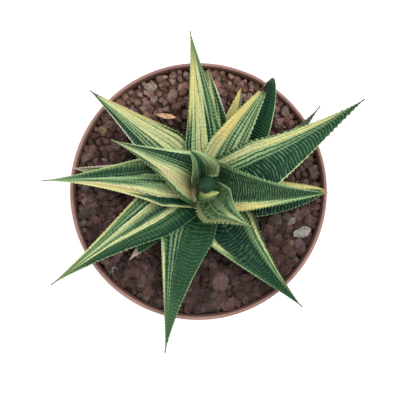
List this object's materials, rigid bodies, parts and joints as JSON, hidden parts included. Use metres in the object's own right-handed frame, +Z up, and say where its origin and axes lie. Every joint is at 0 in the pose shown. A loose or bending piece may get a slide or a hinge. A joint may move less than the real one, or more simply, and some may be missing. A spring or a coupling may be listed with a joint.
{
  "type": "potted haworthia",
  "caption": "Rosette succulent with stiff tapering leaves, cream and green stripes and raised cross ridges, in a thin round plastic pot topped with lava grit.",
  "frame": {"origin": "centre of the pot's underside, on the plane that the pot stands on", "axes": "+Z up along the pot's axis; +X to the right and +Y to the top as the plant is seen from above in the picture"},
  "size_m": [0.1087, 0.1092, 0.103],
  "materials": {
    "pot": "thin moulded terracotta-coloured plastic, matt, pinkish brown",
    "potting_mix": "dark, damp mineral potting mix",
    "lava_grit": "crushed lava, dry, rough, red-brown to grey and tan",
    "rootstock": "corky short stem, pale brown",
    "heart": "young leaf, waxy, dark blue-green with yellow",
    "leaf": "waxy succulent leaf, dark green with pale green, cream and yellow stripes and pale cross ridges",
    "old_leaf": "old lower leaf, duller and yellower, with a withered tan tip"
  },
  "bodies": {
    "root": {"heart_bud": "heart", "heart_leaf": "heart", "inner_leaf_10": "leaf", "inner_leaf_11": "leaf", "inner_leaf_4": "leaf", "lava_grit": "lava_grit", "leaf_1": "leaf", "leaf_10": "leaf", "leaf_12": "leaf", "leaf_2": "leaf", "leaf_3": "leaf", "leaf_5": "leaf", "leaf_6": "leaf", "leaf_8": "leaf", "leaf_9": "leaf", "lower_leaf_1": "leaf", "lower_leaf_12": "leaf", "lower_leaf_2": "leaf", "lower_leaf_3": "leaf", "lower_leaf_9": "leaf", "old_leaf_1": "old_leaf", "old_leaf_8": "old_leaf", "pot": "pot", "potting_mix": "potting_mix", "rootstock": "rootstock"}
  },
  "joints": []
}
